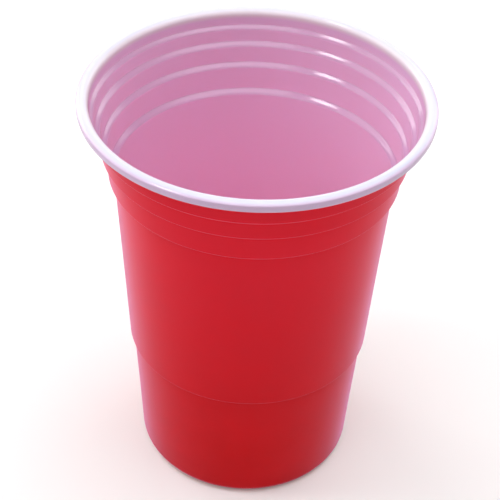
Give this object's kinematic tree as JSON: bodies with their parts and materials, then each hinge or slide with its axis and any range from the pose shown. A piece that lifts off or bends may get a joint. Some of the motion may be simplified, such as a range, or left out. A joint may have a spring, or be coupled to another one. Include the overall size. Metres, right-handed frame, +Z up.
{
  "type": "plastic party cup",
  "caption": "Tapered disposable drinking cup formed from one thin sheet, with stacking ledges below a rolled rim, a low step and a recessed base.",
  "frame": {"origin": "centre of the foot ring, on the surface that the cup stands on", "axes": "+Z up along the cup's axis, towards the mouth; the cup is round, so X and Y are free"},
  "size_m": [0.095, 0.095, 0.12],
  "materials": {
    "cup": "glossy red outside, white rim and inside"
  },
  "bodies": {
    "root": {"cup": "cup"}
  },
  "joints": []
}
